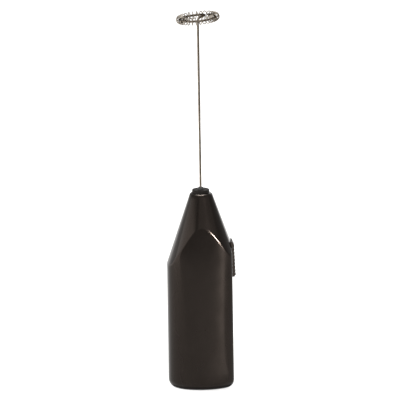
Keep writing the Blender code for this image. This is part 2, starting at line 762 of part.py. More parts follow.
def build_housing():
    black = plastic("body_black", (0.012, 0.011, 0.011), 0.28)
    shell = whole_shell()
    front_shell(shell, black)
    rear_shell(shell, black)
    battery_cover(shell, black)
    bpy.data.objects.remove(shell, do_unlink=True)
    steel = metal("screw_steel", (0.45, 0.44, 0.42), 0.35)
    for name, x in zip(("shell_screw_left", "shell_screw_right"), SCREW_X):
        shell_screw(name, x, steel)


def build_whisk():
    steel = metal("whisk_steel", (0.55, 0.52, 0.49), 0.18)
    nose_collar(plastic("collar_black", (0.014, 0.013, 0.013), 0.4))
    shaft_seal(plastic("seal_black", (0.02, 0.02, 0.02), 0.6))
    whisk_wire(steel)
    whisk_coil(steel)
    shaft_coupling(metal("coupling_brass", (0.6, 0.45, 0.2), 0.35))


def build_motor():
    motor_can(metal("motor_can_steel", (0.5, 0.5, 0.5), 0.3))
    motor_end_cap(plastic("motor_cap_white", (0.6, 0.58, 0.52), 0.5))
    magnet = material("magnet_grey", (0.05, 0.05, 0.05), 0.7, 0.3)
    motor_magnet("motor_magnet_left", 180, magnet)
    motor_magnet("motor_magnet_right", 0, magnet)
    motor_armature(metal("armature_steel", (0.35, 0.34, 0.33), 0.45))
    motor_shaft(metal("motor_shaft_steel", (0.6, 0.6, 0.6), 0.2))
    brass = metal("terminal_brass", (0.6, 0.45, 0.2), 0.35)
    motor_terminal("motor_terminal_left", -TERMINAL_X, brass)
    motor_terminal("motor_terminal_right", TERMINAL_X, brass)
    motor_cradle(plastic("frame_grey", (0.12, 0.12, 0.12), 0.55))


def build_batteries():
    tin = metal("contact_nickel", (0.6, 0.58, 0.54), 0.3)
    cell = plastic("cell_jacket", (0.10, 0.16, 0.30), 0.35)
    battery_tray(plastic("tray_grey", (0.10, 0.10, 0.10), 0.55))
    aa_cell("aa_cell_left", CELL_LEFT_X, CELL_LEFT_Z, True, cell)
    aa_cell("aa_cell_right", CELL_RIGHT_X, CELL_RIGHT_Z, False, cell)
    contact_bridge(tin)
    top_contact("contact_positive", CELL_LEFT_X, -6.8 * MM, tin)
    top_contact("contact_negative", CELL_RIGHT_X - MM, 2.6 * MM, tin)
    clear = GAP + SPRING_WIRE_R
    battery_spring("battery_spring_left", CELL_LEFT_X, BRIDGE_Z + STRIP + clear, CELL_LEFT_Z - clear, tin)
    right_end = CELL_RIGHT_Z + CELL_LENGTH
    battery_spring("battery_spring_right", CELL_RIGHT_X, TOP_CONTACT_Z - clear, right_end + clear, tin)


def build_switch():
    switch_slider(plastic("switch_black", (0.012, 0.012, 0.012), 0.45))
    copper = metal("switch_copper", (0.7, 0.4, 0.25), 0.35)
    pivot = (FLAT_X, 0, STEM_Z[0])
    moving_x = SWITCH_STRIP_X + MOVING_STRIP_OFFSET
    switch_strip("switch_moving_contact", moving_x, MOVING_STRIP_HALF, MOVING_STRIP_Z, copper, pivot)
    switch_strip("switch_lower_contact", SWITCH_STRIP_X, SWITCH_STRIP_HALF, LOWER_STRIP_Z, copper)
    switch_strip("switch_upper_contact", SWITCH_STRIP_X, SWITCH_STRIP_HALF, UPPER_STRIP_Z, copper)


def build_leads():
    """The insulated leads, each along its own route, in millimetres."""
    red = plastic("lead_red", (0.5, 0.02, 0.02), 0.45)
    black = plastic("lead_black", (0.02, 0.02, 0.02), 0.45)
    routes = {
        "lead_positive": (
            red,
            [(-6.8, 3.3, 62.6), (-6.4, 3.0, 64.5), (-5.0, 2.0, 66.0), (-4.2, 1.1, 67.5), (-4.2, 0.95, 69.0)],
        ),
        "lead_negative": (
            black,
            [(2.6, 3.3, 62.85), (4.5, 3.0, 62.85), (7.5, 2.0, 62.85), (10.2, 1.0, 62.9), (11.3, 0, 64.2)],
        ),
        "lead_switch": (
            red,
            [(12.3, 3.3, 81.0), (12.6, 3.6, 77.0), (13.0, 4.3, 72.0), (12.9, 5.0, 67.0), (11.8, 5.2, 63.9),
             (9.5, 5.2, 62.85), (6.5, 5.0, 62.85), (4.9, 4.0, 63.8), (4.3, 2.2, 65.4), (4.2, 0.95, 67.4),
             (4.2, 0.95, 69.0)],
        ),
    }
    for name, (surface, knots) in routes.items():
        wire(name, smooth_route(knots), LEAD_R, surface)


clear_scene()
build_housing()
build_whisk()
build_motor()
build_batteries()
build_switch()
build_leads()
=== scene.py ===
"""The looks of a battery milk frother: its finished meshes, materials, studio and camera."""
import math

import bmesh
import bpy
import numpy as np
from mathutils import Matrix, Vector


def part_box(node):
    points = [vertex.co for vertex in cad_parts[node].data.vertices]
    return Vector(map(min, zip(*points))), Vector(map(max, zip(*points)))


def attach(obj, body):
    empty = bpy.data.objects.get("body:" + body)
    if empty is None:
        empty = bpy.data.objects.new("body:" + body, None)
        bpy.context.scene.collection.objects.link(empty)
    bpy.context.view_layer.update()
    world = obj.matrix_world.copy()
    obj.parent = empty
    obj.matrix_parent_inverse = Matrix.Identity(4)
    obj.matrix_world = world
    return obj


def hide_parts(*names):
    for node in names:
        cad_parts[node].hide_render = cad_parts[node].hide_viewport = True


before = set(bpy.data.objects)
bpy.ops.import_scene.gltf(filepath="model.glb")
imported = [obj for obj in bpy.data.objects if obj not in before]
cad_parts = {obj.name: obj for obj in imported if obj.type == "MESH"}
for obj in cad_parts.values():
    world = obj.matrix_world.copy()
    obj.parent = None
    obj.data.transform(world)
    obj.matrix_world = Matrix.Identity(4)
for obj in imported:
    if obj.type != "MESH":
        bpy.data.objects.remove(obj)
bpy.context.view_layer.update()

MM = 0.001

# Housing: the same oval and cone as the CAD shells.
HALF_WIDTH = 20.3 * MM
HALF_DEPTH = 12.6 * MM
FLAT_X = 17.25 * MM
FLAT_BLEND = 0.4 * MM               # softness of the two edges of the flat
BASE_POWER = 2.0                    # the outline is an ellipse at the base
OVAL_POWER = 3.0                    # and boxier from DRAFT_Z up
DRAFT = 0.015
DRAFT_Z = 80.0 * MM
CONE_SLOPE = 0.34
CONE_APEX_Z = 134.7 * MM
CONE_RIGHT = 1.05                   # the taper is this much wider on the switch's side
SHOULDER_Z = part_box("front_shell")[1].z
NOSE_BORE_R = 4.25 * MM
NOSE_DEPTH = 2.6 * MM
WALL = 1.8 * MM
BASE_FILLET = 5.5 * MM
ARCH_BLEND = 1.0 * MM               # tangent length of the rounded edge between wall and cone
SHOULDER_ROUND = 1.4 * MM
OUTLINE_SAMPLES = 20000             # points that the outline's length is measured along
COLUMN_SPACING = 0.7 * MM
SEAM_HALF = 0.05 * MM
COVER_GAP = 0.25 * MM
EDGE_ROUND = 0.15 * MM

# Battery cover, and the space for the cells behind it.
BAY_X = -1.5 * MM
COVER_HALF_WIDTH = 13.35 * MM
COVER_TOP_Z = 62.85 * MM
FLOOR_SHARE = 0.78                  # the floor plate's reach, as a share of the flat base
TAB_HALF_WIDTH = 4.5 * MM
TAB_THICKNESS = 1.4 * MM
TAB_REACH = 2.6 * MM                # how far the tab stands above the cover
TAB_ROOT = 4.0 * MM                 # and how far it runs down behind it
TAB_GAP = 0.3 * MM                  # between the tab and the wall that it clicks behind
GRIP_BARS = 4
GRIP_PITCH = 2.4 * MM
GRIP_Z = 48.5 * MM
GRIP_HALF_WIDTH = 5.0 * MM
GRIP_HEIGHT = 0.3 * MM
GRIP_BAR_HALF_HEIGHT = 0.5 * MM
GRIP_SINK = 0.3 * MM                # how deep a bar's root sits in the cover

SCREW_X = (-11.5 * MM, 8.4 * MM)
SCREW_Z = 66.6 * MM
WELL_R = 2.4 * MM
WELL_FLOOR_Y = 8.0 * MM
WELL_WALL = 0.6 * MM
WELL_DEPTH = 1.2 * MM

# Collar and seal round the shaft.
SPIGOT_GAP = 0.1 * MM               # between the collar's spigot and the nose's bore
COLLAR_LIFT = 0.05 * MM             # between the collar and the shoulder under it
COLLAR_BORE_R = 2.15 * MM
SEAL_GAP = 0.12 * MM                # between the seal and the shaft

# Whisk: one wire that is shaft, spoke and ring, and a spring wound round the ring.
WIRE_R = 0.65 * MM
WHISK_FOOT_Z = 105.6 * MM
RING_Z = 218.0 * MM
RING_R = 10.2 * MM
RING_BEND_R = 2.6 * MM
SPOKE_BEND_R = 2.0 * MM
SPOKE_AZIMUTH = 58
RING_TILT = 4.5                     # degrees: the ring's left edge hangs low
RING_END_GAP = 6                    # degrees between the ring's free end and the spoke
COIL_GAP = 4                        # degrees between the coil's two ends
COIL_R = 2.0 * MM
COIL_WIRE_R = 0.28 * MM
COIL_TURNS = 28
COIL_STEPS = 24

# Slide switch.
SLIDER_HALF_WIDTH = 4.6 * MM
SLIDER_BACK_X = 17.45 * MM
SLIDER_TOP_DROP = 1.2 * MM          # the thumb piece ends this far below the top of its box
SLIDER_TIP_X = 17.9 * MM
SLIDER_RAMP_X = 18.4 * MM
SLIDER_RAMP_HEIGHT = 2.0 * MM
SLIDER_CROWN = 0.45 * MM            # how far the outer face falls away at its two sides
RIB_COUNT = 9
RIB_START = 0.5 * MM                # the first rib's foot, above the slider's lower end
RIB_FLANK = 0.45 * MM               # height of a rib's sloping side
RIB_CREST = 0.8 * MM                # height of its outer face
RIB_SOFTNESS = 0.18 * MM
RIB_PITCH = 2.1 * MM
RIB_DEPTH = 0.6 * MM
RIB_LEAN = 0.04
RIB_CREST_X = 19.45 * MM
SLOT_Z = (70.5 * MM, 80.5 * MM)
SLOT_HALF_WIDTH = 1.65 * MM
STEM_Z = (70.9 * MM, 76.1 * MM)
STEM_GAP = 0.3 * MM                 # between the stem and the slot's sides
STEM_REACH = 1.35 * MM              # how far the stem reaches in behind the wall
FLANGE_GAP = 0.35 * MM
FLANGE_THICKNESS = 1.5 * MM
FLANGE_HALF_WIDTH = 3.0 * MM
FLANGE_OVERHANG = 1.0 * MM

# AA cells.
CELL_HALF_PITCH = 7.6 * MM
CELL_NUB_HEIGHT = 1.0 * MM
CELL_NUB_R = 2.7 * MM
CELL_AXIS_R = 0.05 * MM             # the can's end faces stop this close to its axis
CELL_SKIN = 0.12 * MM
CELL_GROOVE = 0.35 * MM             # the sunken ring round the nub
CELLS = (("left", True), ("right", False))      # side, and whether its nub is up
SPRING_TURNS = 3
SPRING_STEPS = 36
SPRING_WIRE_R = 0.2 * MM
SPRING_WIDE_R = 4.0 * MM
SPRING_NARROW_R = 2.2 * MM

# Studio.
FLOOR_FRONT_Y = -0.305              # the floor ends here, in front of the object
GLOW_STOPS = (                      # azimuth in degrees, and how strongly the card glows there
    (-25, 1.4), (0, 1.55), (8, 1.65), (16, 1.85), (22, 2.0), (27, 2.7), (33, 3.3), (37, 1.4),
)
GLOW_EDGES = ((0.04, 1.7), (0.30, 1.0))         # distance of each edge, and how far its azimuths are spread
GLOW_HEIGHT = 1.0 * MM
SHADE_MARGINS = (0.4 * MM, 0.6 * MM)            # the shade card's reach past the body, across and in depth
SHADE_HEIGHT = 0.1 * MM
SHADE_SIDES = 64
CAMERA_ANGLES = (-2.4, 14.0, 0.96)              # azimuth, elevation and roll in degrees
CAMERA_DISTANCE = 1.5
CAMERA_TARGET = (0.0001, 0, 0.1114)
VIEW_WIDTH = 0.23115                # metres across the frame at the object


# ---------------------------------------------------------------- mesh helpers

def linked(name, data):
    made = bpy.data.objects.new(name, data)
    bpy.context.scene.collection.objects.link(made)
    return made


def mesh_object(name, points, faces, crease_angle=35):
    """A mesh from points and faces, with doubles joined, normals out and round faces smooth."""
    mesh = bpy.data.meshes.new(name)
    mesh.from_pydata([tuple(point) for point in points], [], faces)
    shape = bmesh.new()
    shape.from_mesh(mesh)
    bmesh.ops.remove_doubles(shape, verts=shape.verts, dist=1e-6)
    loose = [vert for vert in shape.verts if not vert.link_faces]
    bmesh.ops.delete(shape, geom=loose, context="VERTS")
    bmesh.ops.recalc_face_normals(shape, faces=shape.faces)
    shape.to_mesh(mesh)
    shape.free()
    smooth(mesh, crease_angle)
    return linked(name, mesh)


def smooth(mesh, crease_angle):
    mesh.shade_smooth()
    mesh.set_sharp_from_angle(angle=math.radians(crease_angle))


def through_rings(name, rings, closed=False, crease_angle=35):
    """A body through rings of equal length: capped at both ends, or closed on itself."""
    count = len(rings[0])
    levels = len(rings)
    points = [point for ring in rings for point in ring]
    faces = []
    for level in range(levels if closed else levels - 1):
        upper = (level + 1) % levels
        for i in range(count):
            j = (i + 1) % count
            faces.append((level * count + i, level * count + j, upper * count + j, upper * count + i))
    if not closed:
        faces.append(tuple(range(count)))
        faces.append(tuple(range((levels - 1) * count, levels * count)))
    return mesh_object(name, points, faces, crease_angle)


def turned(name, profile, count=96, centre=(0, 0), closed=False, crease_angle=35):
    """A body turned about a vertical axis from (radius, height) points."""
    angles = [2 * math.pi * i / count for i in range(count)]
    rings = [
        [(centre[0] + radius * math.cos(a), centre[1] + radius * math.sin(a), z) for a in angles]
        for radius, z in profile
    ]
    return through_rings(name, rings, closed, crease_angle)


def lay_along_y(piece, x, z):
    """Turns a piece made about the Z axis, so that its axis runs along +Y at this place."""
    piece.data.transform(Matrix.Translation((x, 0, z)) @ Matrix.Rotation(math.radians(-90), 4, "X"))
    return piece


def curve_points(start, corner, end, steps):
    """Points on a smooth curve from start to end, which is tangent to the lines to the corner."""
    start, corner, end = Vector(start), Vector(corner), Vector(end)
    shares = [i / steps for i in range(steps + 1)]
    return [(1 - t) ** 2 * start + 2 * t * (1 - t) * corner + t ** 2 * end for t in shares]


def rounded_profile(corners, steps=5):
    """A closed flat profile from (a, b, reach) corners, each one rounded by its reach."""
    made = []
    for i, (a, b, reach) in enumerate(corners):
        corner = Vector((a, b))
        if not reach:
            made.append(tuple(corner))
            continue
        before = Vector(corners[i - 1][:2])
        after = Vector(corners[(i + 1) % len(corners)][:2])
        start = corner + (before - corner).normalized() * reach
        end = corner + (after - corner).normalized() * reach
        made += [tuple(point) for point in curve_points(start, corner, end, steps)]
    return made


def box_solid(name, low, high):
    """A block between two opposite corners."""
    corners = [(low[0], low[1]), (high[0], low[1]), (high[0], high[1]), (low[0], high[1])]
    return through_rings(name, [[(x, y, z) for x, y in corners] for z in (low[2], high[2])])


def sweep(name, points, radius, sides=16, end_steps=3):
    """A round wire with domed ends along a list of points."""
    points = [Vector(point) for point in points]
    ahead = points[1:] + [2 * points[-1] - points[-2]]
    behind = [2 * points[0] - points[1]] + points[:-1]
    tangents = [(b - a).normalized() for a, b in zip(behind, ahead)]
    normal = tangents[0].orthogonal()
    dome = [math.pi / 2 * (1 - (step + 0.3) / end_steps) for step in range(end_steps)]
    start, end = tangents[0] * radius, tangents[-1] * radius
    stations = [(points[0] - start * math.sin(angle), tangents[0], math.cos(angle)) for angle in dome]
    stations += [(point, tangent, 1) for point, tangent in zip(points, tangents)]
    stations += [
        (points[-1] + end * math.sin(angle), tangents[-1], math.cos(angle)) for angle in reversed(dome)
    ]
    turns = [2 * math.pi * i / sides for i in range(sides)]
    rings = []
    for centre, tangent, share in stations:
        normal = (normal - tangent * normal.dot(tangent)).normalized()
        other = tangent.cross(normal)
        across = [normal * math.cos(turn) + other * math.sin(turn) for turn in turns]
        rings.append([centre + way * radius * share for way in across])
    return through_rings(name, rings, crease_angle=60)


def bevelled(piece, width, segments=2, angle=50):
    """Rounds the piece's sharp edges."""
    change = piece.modifiers.new("edges", "BEVEL")
    change.width = width
    change.segments = segments
    change.limit_method = "ANGLE"
    change.angle_limit = math.radians(angle)
    return piece


def cut_with(piece, tool, crease_angle=30):
    """Takes the tool away from the piece for good, and removes the tool."""
    change = piece.modifiers.new("cut", "BOOLEAN")
    change.operation = "DIFFERENCE"
    change.solver = "EXACT"
    change.object = tool
    state = bpy.context.evaluated_depsgraph_get()
    mesh = bpy.data.meshes.new_from_object(piece.evaluated_get(state))
    piece.modifiers.clear()
    piece.data = mesh
    smooth(mesh, crease_angle)
    bpy.data.objects.remove(tool, do_unlink=True)


def dress(piece, surface, body, slot_name, *stands_for):
    """Gives a new piece its material and body, and hides the CAD nodes it stands for. Its slot name is not
    used.
    """
    piece.data.materials.clear()
    piece.data.materials.append(surface)
    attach(piece, body)
    if stands_for:
        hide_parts(*stands_for)


# ---------------------------------------------------------------- materials

WARM_TINT = (1.0, 0.80, 0.68, 1.0)     # of a black plastic's reflections


class Finish:
    """A Principled material built up from noise in object space."""

    def __init__(self, name, roughness, metallic=0.0, ior=1.45):
        self.material = bpy.data.materials.new(name)
        self.material.use_nodes = True
        self.tree = self.material.node_tree
        self.shader = self.tree.nodes["Principled BSDF"]
        self.shader.inputs["Roughness"].default_value = roughness
        self.shader.inputs["Metallic"].default_value = metallic
        self.shader.inputs["IOR"].default_value = ior
        self.place = self.tree.nodes.new("ShaderNodeTexCoord")
        self.last_bump = None

    def noise(self, size, detail=3.0, stretch=(1, 1, 1)):
        """Noise with features of about this size in metres, drawn out along the axes by the stretch."""
        mapping = self.tree.nodes.new("ShaderNodeMapping")
        mapping.inputs["Scale"].default_value = [1 / share for share in stretch]
        self.tree.links.new(self.place.outputs["Object"], mapping.inputs["Vector"])
        noise = self.tree.nodes.new("ShaderNodeTexNoise")
        noise.inputs["Scale"].default_value = 1 / size
        noise.inputs["Detail"].default_value = detail
        self.tree.links.new(mapping.outputs["Vector"], noise.inputs["Vector"])
        return noise.outputs["Fac"]

    def height(self):
        """The height above the base, as a value."""
        parts = self.tree.nodes.new("ShaderNodeSeparateXYZ")
        self.tree.links.new(self.place.outputs["Object"], parts.inputs["Vector"])
        return parts.outputs["Z"]

    def spread(self, value, low, high, start=0.3, end=0.7):
        """Maps a value onto a range."""
        remap = self.tree.nodes.new("ShaderNodeMapRange")
        remap.inputs["From Min"].default_value = start
        remap.inputs["From Max"].default_value = end
        remap.inputs["To Min"].default_value = low
        remap.inputs["To Max"].default_value = high
        self.tree.links.new(value, remap.inputs["Value"])
        return remap.outputs["Result"]

    def colours(self, value, dark, light, start=0.35, end=0.65):
        """Gives the surface a colour between two, by a value."""
        ramp = self.tree.nodes.new("ShaderNodeValToRGB")
        first, last = ramp.color_ramp.elements
        first.position, last.position = start, end
        first.color, last.color = (*dark, 1), (*light, 1)
        self.tree.links.new(value, ramp.inputs["Fac"])
        self.tree.links.new(ramp.outputs["Color"], self.shader.inputs["Base Color"])

    def roughness(self, value, low, high):
        """Gives the surface a roughness between two, by a value."""
        self.tree.links.new(self.spread(value, low, high), self.shader.inputs["Roughness"])

    def bump(self, value, depth):
        """Adds one more layer of relief, this deep, on top of the ones before."""
        node = self.tree.nodes.new("ShaderNodeBump")
        node.inputs["Distance"].default_value = depth
        self.tree.links.new(value, node.inputs["Height"])
        if self.last_bump:
            self.tree.links.new(self.last_bump, node.inputs["Normal"])
        self.last_bump = node.outputs["Normal"]
        self.tree.links.new(self.last_bump, self.shader.inputs["Normal"])


def black_plastic(name, dark, light, smoothest, roughest, grain, grain_depth, ior):
    """Moulded black plastic: a fine grain, faint flow marks and slight smears of handling."""
    made = Finish(name, roughest, ior=ior)
    made.shader.inputs["Specular Tint"].default_value = WARM_TINT
    made.colours(made.noise(14 * MM, 4), dark, light)
    made.roughness(made.noise(9 * MM, 5, (1, 1, 2)), smoothest, roughest)
    made.bump(made.noise(grain, 2), grain_depth)
    made.bump(made.noise(16 * MM, 1, (1, 1, 3)), 0.01 * MM)
    return made.material


def steel_wire(name, dark, light, smoothest, roughest, drawn, edge):
    """Drawn steel: fine lines along the stretch, a faint stain of use, and this tint at its edges."""
    made = Finish(name, roughest, metallic=1.0)
    made.shader.inputs["Specular Tint"].default_value = (edge, edge, edge, 1)
    made.colours(made.noise(2.5 * MM, 4), dark, light)
    made.roughness(made.noise(0.5 * MM, 3, drawn), smoothest, roughest)
    made.bump(made.noise(0.12 * MM, 2, drawn), 0.006 * MM)
    return made.material


def inner_part(name, dark, light, smoothest, roughest, metallic, grain, depth):
    """A part inside the housing: patchy colour, varied roughness and a fine grain."""
    made = Finish(name, roughest, metallic)
    made.colours(made.noise(3 * MM, 4), dark, light)
    made.roughness(made.noise(1.8 * MM, 3), smoothest, roughest)
    made.bump(made.noise(grain, 2), depth)
    return made.material


def cell_sleeve():
    """The printed sleeve of a cell: a dark blue body with a pale band near its lower end."""
    made = Finish("cell_sleeve", 0.3)
    band = made.spread(made.height(), 0, 1, 15 * MM, 15.4 * MM)
    made.colours(band, (0.42, 0.43, 0.44), (0.018, 0.035, 0.10), 0.4, 0.6)
    made.roughness(made.noise(6 * MM, 4), 0.2, 0.34)
    made.bump(made.noise(5 * MM, 2), 0.02 * MM)
    return made.material


BODY_BLACK = black_plastic("body_black_gloss", (0.0042, 0.0035, 0.0031), (0.0058, 0.0048, 0.0043),
                           0.13, 0.19, 0.25 * MM, 0.0008 * MM, 1.26)
COLLAR_BLACK = black_plastic("collar_black_satin", (0.010, 0.009, 0.0085), (0.019, 0.017, 0.016),
                             0.42, 0.52, 0.18 * MM, 0.003 * MM, 1.09)
SWITCH_BLACK = black_plastic("switch_black_satin", (0.005, 0.0047, 0.0043), (0.008, 0.0075, 0.007),
                             0.48, 0.60, 0.12 * MM, 0.005 * MM, 1.30)
SEAL_BLACK = inner_part("seal_black_rubber", (0.010, 0.010, 0.009), (0.022, 0.021, 0.020),
                        0.42, 0.6, 0.0, 0.1 * MM, 0.008 * MM)
SHAFT_STEEL = steel_wire("whisk_steel_drawn", (0.10, 0.083, 0.067), (0.16, 0.133, 0.107), 0.16, 0.24,
                         (1, 1, 25), 0.15)
COIL_STEEL = steel_wire("whisk_steel_coiled", (0.17, 0.15, 0.125), (0.34, 0.305, 0.26), 0.10, 0.20,
                        (1, 1, 1), 0.5)
NICKEL = inner_part("contact_nickel_plate", (0.45, 0.43, 0.40), (0.66, 0.63, 0.59), 0.18, 0.34, 1.0,
                    0.2 * MM, 0.004 * MM)
INNER_SURFACES = {
    "coupling_brass": inner_part("coupling_brass_turned", (0.50, 0.36, 0.15), (0.66, 0.50, 0.25),
                                 0.22, 0.4, 1.0, 0.1 * MM, 0.006 * MM),
    "motor_can_steel": inner_part("motor_can_steel_zinc", (0.38, 0.39, 0.40), (0.58, 0.58, 0.58),
                                  0.22, 0.42, 1.0, 0.3 * MM, 0.006 * MM),
    "motor_cap_white": inner_part("motor_cap_nylon", (0.50, 0.47, 0.40), (0.66, 0.63, 0.56),
                                  0.38, 0.56, 0.0, 0.2 * MM, 0.01 * MM),
    "magnet_grey": inner_part("magnet_ferrite", (0.03, 0.03, 0.032), (0.07, 0.07, 0.07),
                              0.55, 0.8, 0.2, 0.3 * MM, 0.02 * MM),
    "armature_steel": inner_part("armature_laminate", (0.25, 0.24, 0.23), (0.42, 0.41, 0.40),
                                 0.35, 0.55, 1.0, 0.2 * MM, 0.01 * MM),
    "motor_shaft_steel": inner_part("motor_shaft_ground", (0.5, 0.5, 0.5), (0.66, 0.66, 0.65),
                                    0.12, 0.26, 1.0, 0.1 * MM, 0.003 * MM),
    "terminal_brass": inner_part("terminal_brass_sheet", (0.48, 0.36, 0.16), (0.64, 0.50, 0.26),
                                 0.25, 0.45, 1.0, 0.15 * MM, 0.005 * MM),
    "frame_grey": inner_part("frame_grey_moulded", (0.10, 0.10, 0.10), (0.14, 0.14, 0.14),
                             0.45, 0.62, 0.0, 0.25 * MM, 0.012 * MM),
    "tray_grey": inner_part("tray_grey_moulded", (0.075, 0.075, 0.077), (0.115, 0.115, 0.118),
                            0.42, 0.6, 0.0, 0.25 * MM, 0.012 * MM),
    "contact_nickel": NICKEL,
    "switch_copper": inner_part("switch_copper_sheet", (0.58, 0.32, 0.20), (0.78, 0.47, 0.31),
                                0.22, 0.42, 1.0, 0.15 * MM, 0.005 * MM),
    "screw_steel": inner_part("screw_steel_zinc", (0.34, 0.33, 0.31), (0.54, 0.53, 0.50),
                              0.22, 0.4, 1.0, 0.12 * MM, 0.006 * MM),
    "lead_red": inner_part("lead_red_vinyl", (0.40, 0.012, 0.012), (0.56, 0.03, 0.025),
                           0.34, 0.5, 0.0, 0.3 * MM, 0.01 * MM),
    "lead_black": inner_part("lead_black_vinyl", (0.014, 0.014, 0.014), (0.028, 0.028, 0.028),
                             0.34, 0.5, 0.0, 0.3 * MM, 0.01 * MM),
}


# ---------------------------------------------------------------- housing

def size_at(z):
    """The outline's size at a height, as a share of its size at DRAFT_Z."""
    return 1 + DRAFT * (1 - z / DRAFT_Z)


def depth_share(width_share, z):
    """The outline's reach from front to back, as a share of its most, at this share of its half width."""
    power = BASE_POWER + (OVAL_POWER - BASE_POWER) * min(1, z / DRAFT_Z)
    return (1 - min(1, width_share) ** power) ** (1 / power)


def oval_point(angle, inset=0.0, z=DRAFT_Z):
    """A point of the housing's outline at a height, by an angle from +X, drawn in by the inset."""
    size = size_at(z)
    share = abs(math.cos(angle)) ** (2 / OVAL_POWER)
    across = math.copysign(share, math.cos(angle)) * (HALF_WIDTH * size - inset)
    along = math.copysign(depth_share(share, z), math.sin(angle)) * (HALF_DEPTH * size - inset)
    if across > 0:
        flat = FLAT_X * size - inset
        across = -FLAT_BLEND * float(np.logaddexp(-across / FLAT_BLEND, -flat / FLAT_BLEND))
    return Vector((across, along))


def cone_radius(z, depth=0.0):
    """The taper's radius at a height, on a surface this deep below the outer one."""
    return (CONE_APEX_Z - z) * CONE_SLOPE - depth * math.hypot(1, CONE_SLOPE)


def taper_reach(point):
    """The radius of the taper that passes through a flat point."""
    return math.hypot(point.x / CONE_RIGHT if point.x > 0 else point.x, point.y)


def back_y(x, z):
    """How far back the housing's outer wall stands at this place."""
    return HALF_DEPTH * size_at(z) * depth_share(abs(x) / (HALF_WIDTH * size_at(z)), z)


def column_angles(spacing):
    """Parameter angles for the housing's columns, about this far apart along the outline.

    There is one column on each edge of the seam, and on each edge of the battery cover and its window.
    """
    fine = np.linspace(0, 2 * math.pi, OUTLINE_SAMPLES + 1)
    outline = np.array([oval_point(angle) for angle in fine])
    length = np.concatenate([[0], np.cumsum(np.hypot(*np.diff(outline, axis=0).T))])

    def crossings(axis, level):
        beyond = outline[:, axis] > level
        return [int(i) for i in np.nonzero(beyond[1:] != beyond[:-1])[0]]

    marks = crossings(1, SEAM_HALF) + crossings(1, -SEAM_HALF)
    for side in (-1, 1):
        for half in (COVER_HALF_WIDTH, COVER_HALF_WIDTH + COVER_GAP):
            marks += [i for i in crossings(0, BAY_X + side * half) if outline[i][1] > 0]
    marks = sorted(set(marks))
    made = []
    for here, there in zip(marks, marks[1:] + marks[:1]):
        stretch = length[there] - length[here]
        if there <= here:
            stretch += length[-1]
        count = max(1, round(stretch / spacing))
        for i in range(count):
            made.append(float(np.interp((length[here] + stretch * i / count) % length[-1], length, fine)))
    return sorted(made)


class Rows:
    """The rows of every column, from the middle of the base up to the nose's bore."""

    floor = [0.0, 0.3, 0.55, FLOOR_SHARE, FLOOR_SHARE + 0.02, 0.9]
    fillet_steps = 9
    low_heights = [8.0, 14.0, 20.0, 26.0, 32.0, 38.0, 44.0, 50.0, 56.0, 60.0, 62.85, 63.1, 64.4]
    wall_steps = 10
    blend_steps = 6
    cone_steps = 22
    shoulder_steps = 6
    seam_row = floor.index(FLOOR_SHARE)
    cover_row = len(floor) + fillet_steps + 1 + low_heights.index(COVER_TOP_Z / MM)

    def column(self, angle, depth):
        """One column's points, drawn in by a depth: 0 outside, and the wall's thickness inside."""
        fillet = BASE_FILLET - depth
        edge = oval_point(angle, BASE_FILLET, 0)
        points = [(*(edge * share), depth) for share in self.floor]
        for i in range(self.fillet_steps + 1):
            turn = math.pi / 2 * i / self.fillet_steps
            z = depth + fillet * (1 - math.cos(turn))
            points.append((*oval_point(angle, BASE_FILLET - fillet * math.sin(turn), z), z))
        points += [self.wall(angle, depth, height * MM) for height in self.low_heights]
        meet = self.meeting_height(angle, depth)
        low, high = meet - ARCH_BLEND, meet + ARCH_BLEND
        start = self.low_heights[-1] * MM
        for i in range(1, self.wall_steps):
            points.append(self.wall(angle, depth, start + (low - start) * i / self.wall_steps))
        outward = Vector(self.wall(angle, depth, meet)[:2])
        outward /= taper_reach(outward)

        def cone(z):
            return Vector((*(outward * cone_radius(z, depth)), z))

        corner = Vector(self.wall(angle, depth, meet))
        points += curve_points(self.wall(angle, depth, low), corner, cone(high), self.blend_steps)
        top = SHOULDER_Z - (NOSE_DEPTH if depth else 0)
        end = top - SHOULDER_ROUND
        for i in range(1, self.cone_steps):
            points.append(cone(high + (end - high) * i / self.cone_steps))
        inner_edge = cone(top) - Vector((*(outward * SHOULDER_ROUND), 0))
        points += curve_points(cone(end), cone(top), inner_edge, self.shoulder_steps)
        points.append(Vector((*(outward.normalized() * NOSE_BORE_R), top)))
        return points

    def wall(self, angle, depth, z):
        """A point of this column on the wall, at a height."""
        return (*oval_point(angle, depth, z), z)

    def meeting_height(self, angle, depth):
        """The height at which the wall of this column runs into the cone."""
        z = DRAFT_Z
        for _ in range(8):
            reach = taper_reach(oval_point(angle, depth, z))
            z = CONE_APEX_Z - (reach + depth * math.hypot(1, CONE_SLOPE)) / CONE_SLOPE
        return z


